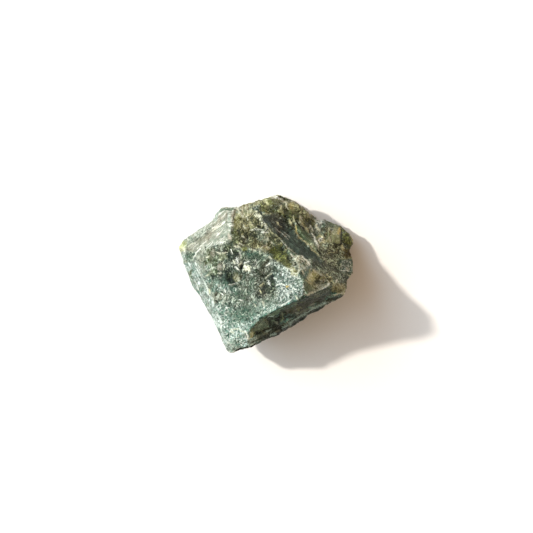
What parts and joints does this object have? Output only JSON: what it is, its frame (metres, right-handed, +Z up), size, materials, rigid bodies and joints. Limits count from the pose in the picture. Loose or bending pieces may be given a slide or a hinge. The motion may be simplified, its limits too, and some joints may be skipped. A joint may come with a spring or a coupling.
{
  "type": "raw moss agate",
  "caption": "Raw broken lump of green and brown moss agate that lies on a flat underside, with one large crystalline face, a dark slick band and a scooped side.",
  "frame": {"origin": "middle of the bounding box, on the flat underside", "axes": "+Z up from the resting face, +X along the longest side of the stone"},
  "size_m": [0.04, 0.0364, 0.024],
  "materials": {
    "moss_agate": "sugary broken chalcedony, mint green to brown, with waxy olive and dark slick patches"
  },
  "bodies": {
    "root": {"moss_agate": "moss_agate"}
  },
  "joints": []
}
